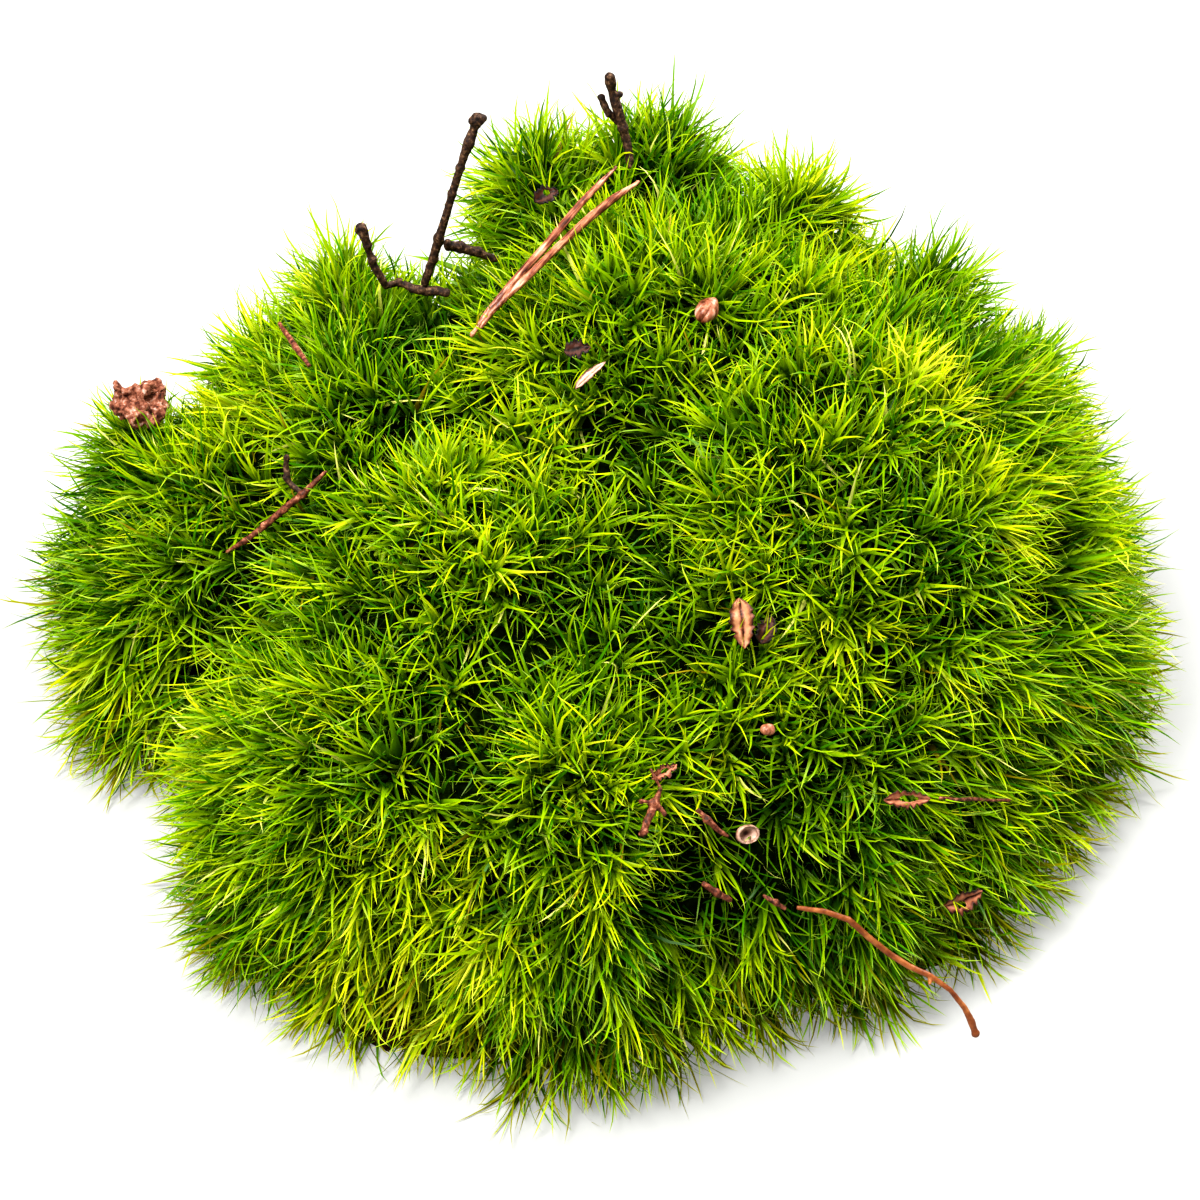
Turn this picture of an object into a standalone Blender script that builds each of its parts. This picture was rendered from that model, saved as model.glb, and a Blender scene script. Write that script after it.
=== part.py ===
"""Moss clump: one cushion of grown-together moss on its flat-cut mat of humus, with the
twigs, pine needles, bark and leaf scraps that lie in it.

Metres, +Z up. The origin is on the flat cut that the clump rests on. The low front of
the cushion faces -Y, its crest stands towards +Y, and its big round lobe is at +X.
"""
import math

import bmesh
import bpy
from mathutils import Vector

MM = 0.001

# The cushion's lobes: centre, then half-axes, in millimetres.
MOSS_LOBES = (
    ((38, 6, 6), (59, 66, 67)),       # the big lobe
    ((25, -34, 5), (49, 44, 50)),     # its foot, towards the front
    ((-4, -44, 6), (38, 47, 48)),     # the front
    ((-32, -38, 6), (40, 43, 47)),    # the front lobe
    ((-66, 12, 6), (32, 36, 40)),     # the side lobe
    ((-37, 26, 8), (44, 47, 52)),     # the shoulder behind the side lobe
    ((-18, -8, 8), (46, 46, 56)),     # the saddle between the lobes
    ((14, 32, 10), (60, 54, 64)),     # the back
    ((-45, 51, 42), (14, 14, 14)),    # tufts along the crest, from the side lobe round
    ((-10, 66, 56), (15, 14, 15)),
    ((10, 74, 54), (15, 14, 15)),
    ((34, 62, 51), (15, 14, 14)),
    ((55, 48, 46), (15, 14, 14)),
    ((71, 33, 37), (14, 14, 16)),
    ((-61, 41, 31), (12, 12, 13)),
    ((-80, 28, 28), (13, 13, 14)),
)
MOSS_FOOT = 2.5 * MM       # the lowest leaf tips stay this far above the ground
MOSS_VOXEL = 3.2 * MM
MOSS_TRIANGLES = 2800
TUFT_SPACING = 16 * MM     # from one tuft of shoots to the next
TUFT_RELIEF = 5 * MM

# The mat of humus that the moss grew on: a flat low pad, well inside the moss.
HUMUS_LOBES = (
    ((30, -4, 0), (52, 66, 15)),
    ((-22, -34, 0), (44, 46, 14)),
    ((-40, 22, 0), (46, 42, 14)),
    ((10, 36, 0), (54, 40, 15)),
)
HUMUS_VOXEL = 3 * MM
HUMUS_TRIANGLES = 800
HUMUS_CRUMBS = 9 * MM      # from one crumb of the mat to the next
HUMUS_RELIEF = 3 * MM

# Name, colour and roughness.
FINISHES = (
    ("moss", "#6d8f16", 0.6),
    ("humus", "#4a2f1c", 0.9),
    ("dark twig", "#35241a", 0.75),
    ("brown twig", "#8a4b2a", 0.7),
    ("pine needle", "#a5683f", 0.5),
    ("straw strand", "#b57a4c", 0.55),
    ("dead leaf", "#a5623f", 0.6),
    ("dark leaf", "#4c2716", 0.65),
    ("pale leaf", "#d9b08f", 0.5),
    ("bark", "#8e5238", 0.9),
    ("bud", "#95552f", 0.5),
)

CLEARANCE = 0.6 * MM       # the moss stands this far off everything bedded in it
LINE_STEP = 4 * MM         # about how far apart the rings of a twig or a needle are
SCRAP_THICKNESS = 0.45 * MM
SCRAP_TIP = 0.16           # a scrap's width at its ends, as a share of its middle's
PIT_SPACING = 2.4 * MM     # on the bark and the buds

# Twigs, needles and stalks bedded in the moss: name, material, then each point of the
# middle line with the radius there, all in millimetres.
STEMS = (
    ("creeping_twig", "dark twig", (
        (-37.0, 42.2, 56.6, 0.60), (-34.4, 44.0, 55.9, 0.60), (-32.3, 42.8, 55.6, 0.80),
        (-30.2, 42.4, 55.3, 0.90), (-28.1, 42.2, 55.6, 0.85), (-26.2, 41.5, 55.7, 0.65))),
    ("twig_stub", "dark twig", (
        (-26.2, 46.6, 62.2, 0.75), (-24.0, 47.1, 61.0, 0.95), (-21.5, 47.4, 59.9, 0.85),
        (-17.6, 47.4, 58.0, 0.60))),
    ("crest_twig", "dark twig", (
        (5.4, 65.4, 63.4, 0.70), (4.7, 68.0, 67.0, 0.85), (4.0, 69.0, 69.4, 0.85),
        (3.4, 69.9, 71.6, 0.90), (2.7, 70.7, 73.6, 0.95), (2.1, 71.4, 75.6, 0.75),
        (1.8, 71.9, 77.4, 1.10), (1.7, 72.0, 78.6, 0.75))),
    ("left_pine_needle", "pine needle", (
        (-21.6, 25.6, 60.0, 0.35), (-19.4, 28.3, 62.0, 0.60), (-14.7, 32.8, 65.6, 0.75),
        (-9.2, 38.8, 68.5, 0.75), (-3.4, 46.4, 71.3, 0.70), (0.0, 50.7, 72.2, 0.60),
        (2.9, 55.0, 72.4, 0.25))),
    ("right_pine_needle", "pine needle", (
        (-18.6, 24.9, 61.9, 0.35), (-16.9, 27.0, 63.4, 0.55), (-12.2, 30.8, 66.5, 0.65),
        (-7.4, 36.2, 68.8, 0.65), (-1.3, 43.6, 70.8, 0.75), (2.5, 47.3, 72.0, 0.75),
        (6.8, 51.0, 72.5, 0.30))),
    ("side_twig", "brown twig", (
        (-54.6, 34.3, 55.3, 0.35), (-53.1, 30.5, 56.5, 0.50), (-51.0, 25.7, 57.6, 0.55),
        (-48.4, 20.7, 57.9, 0.35))),
    ("forked_twiglet", "brown twig", (
        (-61.9, -4.8, 39.7, 0.35), (-58.4, -4.8, 42.5, 0.50), (-55.0, -4.0, 45.3, 0.60),
        (-51.6, -3.0, 48.3, 0.65), (-48.6, -2.4, 50.9, 0.60), (-46.4, -1.4, 52.9, 0.50),
        (-44.6, -0.4, 54.3, 0.30))),
    ("broken_stem", "brown twig", (
        (6.2, -69.2, 44.7, 0.50), (7.2, -67.1, 46.1, 0.65), (8.4, -64.8, 47.5, 0.60),
        (9.2, -62.8, 48.5, 0.35))),
    ("scrap_stalk", "brown twig", (
        (14.8, -62.8, 43.4, 0.45), (16.4, -63.8, 42.1, 0.55), (18.2, -64.7, 40.6, 0.45),
        (19.8, -65.2, 39.7, 0.30))),
    ("skeleton_leaf_stalk", "brown twig", (
        (52.6, -56.4, 38.5, 0.30), (55.4, -54.8, 36.1, 0.35), (58.6, -52.6, 33.6, 0.35),
        (62.0, -51.0, 31.3, 0.30), (65.2, -49.5, 29.6, 0.25))),
    ("strand_end", "straw strand", (
        (15.6, -70.7, 35.4, 0.45), (17.9, -71.4, 33.9, 0.60), (20.2, -71.5, 32.0, 0.45))),
    ("strand_middle", "brown twig", (
        (25.0, -70.4, 32.0, 0.35), (27.0, -71.2, 31.1, 0.45), (28.6, -71.7, 30.2, 0.35))),
    ("long_strand", "straw strand", (
        (30.2, -71.3, 30.0, 0.40), (34.5, -71.6, 29.5, 0.50), (38.4, -72.1, 28.0, 0.55),
        (41.6, -72.9, 24.6, 0.55), (44.9, -73.8, 21.6, 0.55), (48.1, -75.1, 20.0, 0.55),
        (51.3, -76.1, 19.0, 0.50), (54.5, -77.3, 16.9, 0.45), (56.9, -78.6, 14.0, 0.50),
        (58.1, -79.6, 11.6, 0.65), (58.7, -80.3, 9.9, 0.55))),
)

# Branches of those twigs, split from them at the fork and standing clear of the moss.
BRANCHES = (
    ("tall_twig", "dark twig", (
        (-30.1, 42.5, 56.7, 0.75), (-28.7, 43.3, 61.1, 0.80), (-27.7, 44.0, 64.3, 0.80),
        (-24.9, 46.0, 73.7, 0.70), (-22.7, 47.8, 80.8, 0.75), (-21.8, 48.3, 83.2, 1.05),
        (-21.0, 49.0, 85.4, 0.75), (-20.4, 49.4, 87.0, 1.20), (-20.2, 49.6, 88.0, 0.95))),
    ("short_twig", "dark twig", (
        (-37.0, 42.0, 57.7, 0.70), (-38.6, 42.6, 61.0, 0.75), (-39.3, 43.1, 63.6, 0.60),
        (-39.8, 43.5, 66.0, 0.80), (-40.2, 43.9, 67.6, 1.00), (-40.4, 44.1, 68.6, 0.70))),
    ("crest_twig_spur", "dark twig", (
        (1.6, 69.4, 71.6, 0.55), (0.9, 70.1, 73.1, 0.65), (0.2, 70.8, 74.8, 0.60))),
    ("twiglet_spur", "brown twig", (
        (-49.8, -1.2, 50.8, 0.45), (-51.1, -0.2, 51.8, 0.60), (-51.4, 1.2, 53.8, 0.55),
        (-51.2, 1.8, 55.4, 0.40))),
)

# Leaf scraps: name, material, middle, length and width in millimetres, the way the
# scrap runs, the way its face looks, and how far it curls along and across.
SCRAPS = (
    ("folded_leaf_scrap", "dead leaf", (22.1, -35.8, 56.1), (7.2, 4.4),
     (0.1, -0.75, -0.62), (0.0, -0.55, 0.85), 0.12, 0.35),
    ("curled_leaf_scrap", "dark leaf", (25.9, -36.5, 55.6), (4.4, 2.6),
     (0.35, 0.8, 0.45), (0.1, -0.45, 0.88), 0.30, 0.20),
    ("pale_leaf_scrap", "pale leaf", (-1.6, 9.7, 66.4), (6.2, 2.2),
     (0.72, 0.62, 0.3), (-0.2, -0.35, 0.92), 0.08, 0.20),
    ("dark_leaf_scrap", "dark leaf", (-3.7, 14.5, 67.6), (4.2, 2.8),
     (0.95, 0.1, 0.1), (-0.1, -0.5, 0.86), 0.20, 0.20),
    ("crest_leaf_scrap", "dark leaf", (-9.2, 54.5, 66.4), (4.6, 3.0),
     (0.8, 0.5, 0.1), (-0.1, -0.5, 0.86), 0.20, 0.25),
    ("round_leaf_scrap", "pale leaf", (22.7, -64.6, 39.7), (4.2, 3.6),
     (0.9, 0.1, -0.15), (0.0, -0.7, 0.71), 0.25, 0.30),
    ("skeleton_leaf", "dead leaf", (47.6, -58.6, 40.8), (7.8, 2.4),
     (0.9, 0.25, -0.28), (0.3, -0.65, 0.68), 0.10, 0.20),
    ("rim_leaf_scrap", "dead leaf", (57.7, -62.3, 19.9), (6.4, 3.0),
     (0.88, 0.35, 0.1), (0.4, -0.8, 0.42), 0.25, 0.35),
    ("stem_leaf_scrap", "dead leaf", (9.9, -60.0, 49.0), (4.6, 2.4),
     (0.8, 0.5, 0.1), (0.2, -0.45, 0.87), 0.20, 0.25),
)

# Solid crumbs: name, material, middle, half-axes in millimetres, turn about Z in
# degrees, and how rough the surface is in millimetres.
CRUMBS = (
    ("bark_flake", "bark", (-78.8, 27.9, 42.5), (5.0, 4.2, 3.2), 20, 1.6),
    ("bud_scale", "bud", (17.6, 19.4, 71.8), (2.0, 2.6, 1.6), -20, 0.2),
    ("small_bud", "bud", (25.8, -52.1, 49.8), (1.3, 1.0, 1.0), 0, 0.1),
)


def linear(hex_colour):
    """An sRGB hex colour as the linear RGBA that a material takes."""
    channels = [int(hex_colour[i:i + 2], 16) / 255 for i in (1, 3, 5)]
    return tuple(c / 12.92 if c <= 0.04045 else ((c + 0.055) / 1.055) ** 2.4
                 for c in channels) + (1.0,)


def material(name, hex_colour, roughness):
    """A plain material of one colour."""
    made = bpy.data.materials.new(name)
    made.use_nodes = True
    shader = made.node_tree.nodes["Principled BSDF"]
    shader.inputs["Base Color"].default_value = linear(hex_colour)
    shader.inputs["Roughness"].default_value = roughness
    shader.inputs["Metallic"].default_value = 0.0
    made.diffuse_color = linear(hex_colour)
    return made


def collection(name):
    """A new collection under the scene's own."""
    made = bpy.data.collections.new(name)
    bpy.context.scene.collection.children.link(made)
    return made


def move_to(target, made):
    """Keep an object in one collection only."""
    for held in list(made.users_collection):
        held.objects.unlink(made)
    target.objects.link(made)


def select_only(*objects):
    """Select these objects alone, the first of them active."""
    bpy.ops.object.select_all(action="DESELECT")
    for chosen in objects:
        chosen.select_set(True)
    bpy.context.view_layer.objects.active = objects[0]


def evaluated_mesh(source):
    """The mesh of an object with its modifiers applied, as a new mesh."""
    graph = bpy.context.evaluated_depsgraph_get()
    return bpy.data.meshes.new_from_object(source.evaluated_get(graph))


def face_count(source):
    """How many faces an object has once its modifiers are applied."""
    graph = bpy.context.evaluated_depsgraph_get()
    return len(source.evaluated_get(graph).data.polygons)


def swelling(name, lobes, voxel, triangles, spacing, relief):
    """One closed lumpy body that takes in all the lobes."""
    balls = []
    for centre, half_axes in lobes:
        bpy.ops.mesh.primitive_uv_sphere_add(
            segments=40, ring_count=24, radius=MM, location=Vector(centre) * MM,
            scale=half_axes)
        bpy.ops.object.transform_apply(location=True, rotation=False, scale=True)
        balls.append(bpy.context.object)
    select_only(*balls)
    bpy.ops.object.join()
    body = bpy.context.object
    body.name = name
    body.data.name = name
    bpy.ops.object.transform_apply(location=True, rotation=True, scale=True)

    skin = body.modifiers.new("one skin", "REMESH")
    skin.mode = "VOXEL"
    skin.voxel_size = voxel
    soft = body.modifiers.new("soft valleys", "SMOOTH")
    soft.factor = 0.5
    soft.iterations = 8
    lumps = bpy.data.textures.new(name + " lumps", "CLOUDS")
    lumps.noise_scale = spacing
    lumps.noise_depth = 1
    lumpy = body.modifiers.new("lumps", "DISPLACE")
    lumpy.texture = lumps
    lumpy.texture_coords = "LOCAL"
    lumpy.strength = relief
    lumpy.mid_level = 0.5
    coarse = body.modifiers.new("fewer faces", "DECIMATE")
    coarse.ratio = triangles / (2 * face_count(body))
    return body


def cut_away(body, cutter):
    """Cut the cutter's shape out of a body."""
    cut = body.modifiers.new("clear of " + cutter.name, "BOOLEAN")
    cut.operation = "DIFFERENCE"
    cut.object = cutter


def hide_cutter(cutter, cutters):
    """Keep a cutter out of the finished part."""
    cutter.hide_render = True
    cutter.display_type = "WIRE"
    move_to(cutters, cutter)


def ground_cutter(name, height, cutters):
    """A slab whose top lies at this height, wide enough to cut the whole clump flat."""
    depth = 120 * MM
    bpy.ops.mesh.primitive_cube_add(size=1, location=(0, 0, height - depth / 2),
                                    scale=(400 * MM, 400 * MM, depth))
    bpy.ops.object.transform_apply(location=True, rotation=False, scale=True)
    slab = bpy.context.object
    slab.name = name
    hide_cutter(slab, cutters)
    return slab


def along_line(points):
    """The points of a smooth line through the given ones, each with its radius."""
    line = []
    for i in range(len(points) - 1):
        before, start = Vector(points[max(i - 1, 0)]), Vector(points[i])
        end, after = Vector(points[i + 1]), Vector(points[min(i + 2, len(points) - 1)])
        steps = max(1, round((end - start).length * MM / LINE_STEP))
        for step in range(steps):
            t = step / steps
            line.append(0.5 * (2 * start + (end - before) * t
                               + (2 * before - 5 * start + 4 * end - after) * t ** 2
                               + (3 * start - before - 3 * end + after) * t ** 3))
    return line + [Vector(points[-1])]


def stem(name, points, room):
    """A round stem of changing thickness, made thicker and longer all round by room."""
    line = [(spot.xyz * MM, spot.w * MM + room) for spot in along_line(points)]
    for end, inner in ((0, 1), (-1, -2)):
        outward = (line[end][0] - line[inner][0]).normalized()
        line[end] = (line[end][0] + outward * room, line[end][1])
    shape = bpy.data.curves.new(name, "CURVE")
    shape.dimensions = "3D"
    shape.bevel_depth = 1.0
    shape.bevel_resolution = 2
    shape.render_resolution_u = 0
    shape.use_fill_caps = True
    spline = shape.splines.new("POLY")
    spline.points.add(len(line) - 1)
    for spot, (place, radius) in zip(spline.points, line):
        spot.co = (*place, 1.0)
        spot.radius = radius
    guide = bpy.data.objects.new(name + " line", shape)
    bpy.context.scene.collection.objects.link(guide)
    mesh = evaluated_mesh(guide)
    work = bmesh.new()
    work.from_mesh(mesh)
    bmesh.ops.remove_doubles(work, verts=work.verts, dist=0.01 * MM)
    bmesh.ops.recalc_face_normals(work, faces=work.faces)
    work.to_mesh(mesh)
    work.free()
    made = bpy.data.objects.new(name, mesh)
    made.matrix_world = guide.matrix_world.copy()
    bpy.context.scene.collection.objects.link(made)
    bpy.data.objects.remove(guide, do_unlink=True)
    return made


def scrap(name, middle, size, run, face, curl_along, curl_across, room):
    """A thin curled scrap of leaf, pointed at both ends, made larger all round by room."""
    length, width = (side * MM + 2 * room for side in size)
    bpy.ops.mesh.primitive_grid_add(x_subdivisions=7, y_subdivisions=4, size=1)
    made = bpy.context.object
    made.name = name
    forward = Vector(run).normalized()
    sideways = Vector(face).cross(forward).normalized()
    upward = forward.cross(sideways)
    for vertex in made.data.vertices:
        u, v = 2 * vertex.co.x, 2 * vertex.co.y          # -1 to 1 each way
        taper = SCRAP_TIP + (1 - SCRAP_TIP) * math.cos(u * math.pi / 2) ** 0.7
        half_width = 0.5 * width * taper
        lift = curl_across * abs(v) * 0.5 * size[1] * MM * taper \
            - curl_along * 0.5 * size[0] * MM * u * u
        vertex.co = (Vector(middle) * MM + forward * (0.5 * length * u)
                     + sideways * (half_width * v) + upward * lift)
    sheet = made.modifiers.new("thickness", "SOLIDIFY")
    sheet.thickness = SCRAP_THICKNESS + 2 * room
    sheet.offset = 0
    return made


def crumb(name, middle, half_axes, turn, roughness, room):
    """A small solid lump, such as a flake of bark, made larger all round by room."""
    bpy.ops.mesh.primitive_ico_sphere_add(
        subdivisions=3, radius=1, location=Vector(middle) * MM,
        rotation=(0, 0, math.radians(turn)),
        scale=[half_axis * MM + room for half_axis in half_axes])
    bpy.ops.object.transform_apply(location=True, rotation=True, scale=True)
    made = bpy.context.object
    made.name = name
    pits = bpy.data.textures.new(name + " pits", "CLOUDS")
    pits.noise_scale = PIT_SPACING
    rough = made.modifiers.new("rough", "DISPLACE")
    rough.texture = pits
    rough.texture_coords = "LOCAL"
    rough.strength = roughness * MM
    rough.mid_level = 0.5
    return made


def finish_off(made, finish, parts):
    """Give a piece its material and put it among the parts."""
    made.data.materials.clear()
    made.data.materials.append(finish)
    made.data.shade_smooth()
    move_to(parts, made)


def bed(moss, maker, row, finishes, parts, cutters):
    """Make a piece, and cut the room it needs out of the moss around it."""
    name, finish, *shape = row
    finish_off(maker(name, *shape, 0.0), finishes[finish], parts)
    cutter = maker("room for " + name, *shape, CLEARANCE)
    hide_cutter(cutter, cutters)
    cut_away(moss, cutter)


def main():
    for old in list(bpy.data.objects):
        bpy.data.objects.remove(old, do_unlink=True)
    parts = collection("moss clump")
    cutters = collection("cutters")
    finishes = {name: material(name, colour, roughness)
                for name, colour, roughness in FINISHES}

    humus = swelling("humus_mat", HUMUS_LOBES, HUMUS_VOXEL, HUMUS_TRIANGLES,
                     HUMUS_CRUMBS, HUMUS_RELIEF)
    under_humus = swelling("room for humus_mat", HUMUS_LOBES, HUMUS_VOXEL,
                           HUMUS_TRIANGLES, HUMUS_CRUMBS, HUMUS_RELIEF)
    wider = under_humus.modifiers.new("wider", "DISPLACE")
    wider.strength = CLEARANCE
    wider.mid_level = 0.0
    hide_cutter(under_humus, cutters)
    moss = swelling("moss_cushion", MOSS_LOBES, MOSS_VOXEL, MOSS_TRIANGLES,
                    TUFT_SPACING, TUFT_RELIEF)
    cut_away(moss, ground_cutter("ground under the moss", MOSS_FOOT, cutters))
    cut_away(moss, under_humus)
    cut_away(humus, ground_cutter("ground under the humus", 0, cutters))
    finish_off(humus, finishes["humus"], parts)
    finish_off(moss, finishes["moss"], parts)

    for maker, rows in ((stem, STEMS), (scrap, SCRAPS), (crumb, CRUMBS)):
        for row in rows:
            bed(moss, maker, row, finishes, parts, cutters)
    for name, finish, points in BRANCHES:
        finish_off(stem(name, points, 0.0), finishes[finish], parts)


main()
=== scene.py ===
"""The looks of a clump of cushion moss on its mat of humus, with the twigs, pine needles,
bark and leaf scraps that lie in it.

The cushion is grown leaf by leaf: shoots stand all over the skin of the moss solid, every
shoot carries whorls of awl-shaped leaves, and all of them are copies of one modelled
blade, each with its own bow, twist and age.
"""
import math

import bpy
import numpy as np
from mathutils import Matrix, Vector, noise


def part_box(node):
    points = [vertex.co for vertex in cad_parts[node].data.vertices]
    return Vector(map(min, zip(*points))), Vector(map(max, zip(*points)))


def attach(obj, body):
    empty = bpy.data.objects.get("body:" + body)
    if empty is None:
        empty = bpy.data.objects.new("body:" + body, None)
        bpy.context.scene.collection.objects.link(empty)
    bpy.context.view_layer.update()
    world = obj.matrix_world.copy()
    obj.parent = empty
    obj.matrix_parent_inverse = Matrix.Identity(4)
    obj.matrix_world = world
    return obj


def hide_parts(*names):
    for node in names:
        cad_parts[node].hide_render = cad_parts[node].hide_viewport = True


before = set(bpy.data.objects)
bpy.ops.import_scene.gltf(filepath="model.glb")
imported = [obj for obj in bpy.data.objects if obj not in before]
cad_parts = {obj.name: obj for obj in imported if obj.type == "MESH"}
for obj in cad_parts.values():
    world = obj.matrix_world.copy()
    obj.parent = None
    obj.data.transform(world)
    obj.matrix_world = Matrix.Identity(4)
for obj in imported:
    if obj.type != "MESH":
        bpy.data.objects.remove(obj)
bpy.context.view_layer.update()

MM = 0.001
UP = np.array((0.0, 0.0, 1.0))
GOLDEN_ANGLE = math.radians(137.508)

# The camera looks along +Y and down on the clump.
CAMERA_ELEVATION = math.radians(47)
CAMERA_DISTANCE = 0.567
CAMERA_TARGET = Vector((0, 0, 23 * MM))
CAMERA_LENS = 100          # millimetres
CAMERA_SENSOR = 36

# Shoots.
SKIN_VOXEL = 2.5 * MM      # of the smooth skin that the shoots are spaced on
FOOT = 3.0 * MM            # the moss solid ends at about this height
BURIED = 14 * MM           # how far its walls are run on below the ground
CROWN_SPACING = 4.8 * MM   # from one crown of leaves to the next
CROWN_LEAVES = 23
CROWN_DEPTH = 6.8 * MM     # from the skin, where the leaf tips end, to the shoot's apex
FILLER_SPACING = 4.0 * MM  # the shorter shoots between the crowns
FILLER_LEAVES = 12
FILLER_DEPTH = 9.0 * MM
TUFT_SPACING = 15 * MM     # shoots stand in tufts, about this far apart
TUFT_SEAM = 5 * MM         # how wide the sunken seam between two tufts is
SEAM_DEPTH = 2.6 * MM      # how deep the middle of that seam is sunk
GROUND = 0.3 * MM          # no leaf tip hangs lower than this
TIP_SCATTER = 0.5 * MM     # how unevenly the leaves that reach the ground end on it
LOWEST_SHOOT = 1.0 * MM
OVERHANG = -0.6            # no shoot grows from skin that looks further down than this
RIM_RADIUS = 60 * MM       # from the clump's middle: shoots near the rim lean outwards

# How far a shoot leans from the skin's normal, as shares of one: down the slope, on the
# flat and as much more as it is steep; out at the rim; out from its tuft's middle; with
# its neighbours; and on its own.
LEAN_FLAT, LEAN_STEEP, LEAN_RIM, LEAN_TUFT, LEAN_DRIFT, LEAN_STRAY = (
    0.25, 0.75, 0.55, 0.26, 0.25, 0.16)
DRIFT_SIZE = 24 * MM       # how far apart shoots still lean the same way
LOWEST_LEAN = -0.35        # the furthest down that a shoot points

# Leaves.
LEAF_LENGTH = 13.5 * MM
LEAF_WIDTH = 1.5 * MM
LEAFY_STEM = 6.5 * MM      # the length of stem that carries a shoot's green leaves
SPREAD_LOW = 62            # degrees between the lowest leaves and their stem
SPREAD_CLOSES = 50         # by how many degrees that closes up to the shoot's apex
BOW, BOW_SCATTER = 24, 48  # degrees that leaves bow over their length
SWAY_SCATTER = 24          # degrees that they bend sideways
# Across the blade: how far along it, how wide, and how deep its channel is.
BLADE_ROWS = ((0.0, 0.0, 0.0), (0.15, 1.0, 0.30), (0.36, 0.56, 0.14), (0.58, 0.31, 0.0),
              (0.82, 0.21, 0.0), (1.0, 0.0, 0.0))
MOSS_PIECES = 5

STICK_VOXEL = 0.22 * MM    # fine enough for a twig's scars and forks
SCRAP_ROWS = (30, 16)      # faces along and across a leaf scrap

# Places where the cushion differs from the rest: middle and reach, how much deeper the shoots
# stand there, all in millimetres, and how much lighter their leaves' colour is made, darker
# below zero. That shift is painted shade in the valleys, holes, crevice and at the foot of the
# twigs, a painted highlight on the big lobe's ridge, and elsewhere the moss's own tone.
PLACES = (
    ((-9, -34, 56), 9, 3.5, -0.05),     # valleys between the front lobes, darker as painted shade
    ((-21, -55, 48), 9, 4.0, -0.10),
    ((-39, -58, 46), 10, 1.0, -0.07),
    ((18, -72, 36), 14, 4.5, -0.14),
    ((34, -68, 34), 12, 3.0, -0.10),
    ((31, 2, 73), 7, 6.5, -0.10),       # two holes in the top of the big lobe, darker as painted shade
    ((40, 0, 73), 6, 6.5, -0.10),
    ((36, 8, 73), 8, 2.0, -0.08),
    ((75, 1, 58), 8, 7.0, -0.15),       # the crevice down its right side, darker as painted shade
    ((77, -10, 52), 8, 7.0, -0.15),
    ((75, -22, 49), 8, 6.0, -0.12),
    ((-31, 35, 57), 10, 2.5, -0.10),    # at the foot of the twigs, darker as painted shade
    ((-42, 3, 56), 9, 1.0, -0.06),
    ((-76, 22, 40), 9, -1.0, 0.0),      # leaves that stand up round the bark flake
    ((-82, -20, 14), 17, -5.5, 0.03),   # leaves that hang out far over the ground
    ((-30, -84, 8), 14, -1.0, 0.05),
    ((68, -54, 12), 14, -1.5, 0.0),
    ((-88, 8, 32), 14, 2.0, 0.0),       # the upper edge of the side lobe
    ((43, 52, 60), 10, 3.5, 0.0),       # the shoulder behind the crest
    ((-50, -48, 40), 26, 0.0, 0.05),    # the bright front lobe
    ((-32, -77, 24), 26, 0.0, 0.12),
    ((-21, -79, 30), 10, 0.0, 0.06),
    ((-58, -60, 30), 10, 0.0, 0.06),
    ((-2, -58, 52), 10, -1.5, 0.14),
    ((-2, -74, 42), 11, -1.0, 0.12),
    ((54, 10, 70), 12, -2.5, 0.26),     # the big lobe's ridge, lighter as a painted highlight
    ((64, -12, 62), 12, -1.0, 0.10),
    ((53, -38, 52), 13, -1.5, 0.14),
    ((34, -40, 55), 10, -1.0, 0.08),
    ((53, -60, 31), 9, 0.0, 0.10),
    ((17, 13, 69), 11, -1.0, 0.10),     # light crowns on the top
    ((-23, 22, 60), 9, 0.0, 0.06),
    ((-3, -2, 60), 10, -1.0, 0.08),
    ((16, -7, 66), 9, -1.0, 0.08),
    ((-41, -18, 54), 9, 0.0, 0.05),
    ((-21, -25, 61), 9, -1.0, 0.10),
)
OLIVE_BELOW = 20 * MM      # older olive leaves are mixed in under this height

# Where a leaf stands on the scale of age and health that its colours are read from: brown and
# dead, olive and old, then dark to light living green, and dry cream. Leaves are also moved
# down it as painted shade, in seams, hollows and on the filler shoots, and up it as a painted
# highlight on the big lobe's ridge.
BROWN, OLIVE, CREAM = 0.04, 0.13, 0.97
LIVING = 0.57              # a middling green leaf
LIVING_RANGE = (0.21, 0.90)
TOP_LEAVES_YOUNGER = 0.26  # from the lowest to the highest leaf of a shoot
# Painted shade: how much darker the leaves in the seams between tufts, and all leaves of the
# short filler shoots, are made on the scale.
SEAM_PAINTED_SHADE = 0.10
FILLER_PAINTED_SHADE = 0.20
CREAM_SHARE, BROWN_SHARE = 0.006, 0.003
OLIVE_SHARE = 0.55         # of the leaves at the ground


# ---------------------------------------------------------------- small helpers

def linear(hex_colour):
    """An sRGB hex colour as the linear RGBA that a node takes."""
    channels = [int(hex_colour[i:i + 2], 16) / 255 for i in (1, 3, 5)]
    return tuple(c / 12.92 if c <= 0.04045 else ((c + 0.055) / 1.055) ** 2.4
                 for c in channels) + (1.0,)


def select_only(*chosen):
    """Select these objects alone, the first of them active."""
    bpy.ops.object.select_all(action="DESELECT")
    for piece in chosen:
        piece.select_set(True)
    bpy.context.view_layer.objects.active = chosen[0]


def add(piece, kind, **settings):
    """Put a modifier on a piece and apply it."""
    modifier = piece.modifiers.new(kind.title(), kind)
    for name, value in settings.items():
        setattr(modifier, name, value)
    select_only(piece)
    bpy.ops.object.modifier_apply(modifier=modifier.name)


def clouds(name, size, depth=2):
    """Cloudy relief, for a Displace modifier, with lumps about this large."""
    texture = bpy.data.textures.new(name, "CLOUDS")
    texture.noise_scale = size
    texture.noise_depth = depth
    return texture


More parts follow.
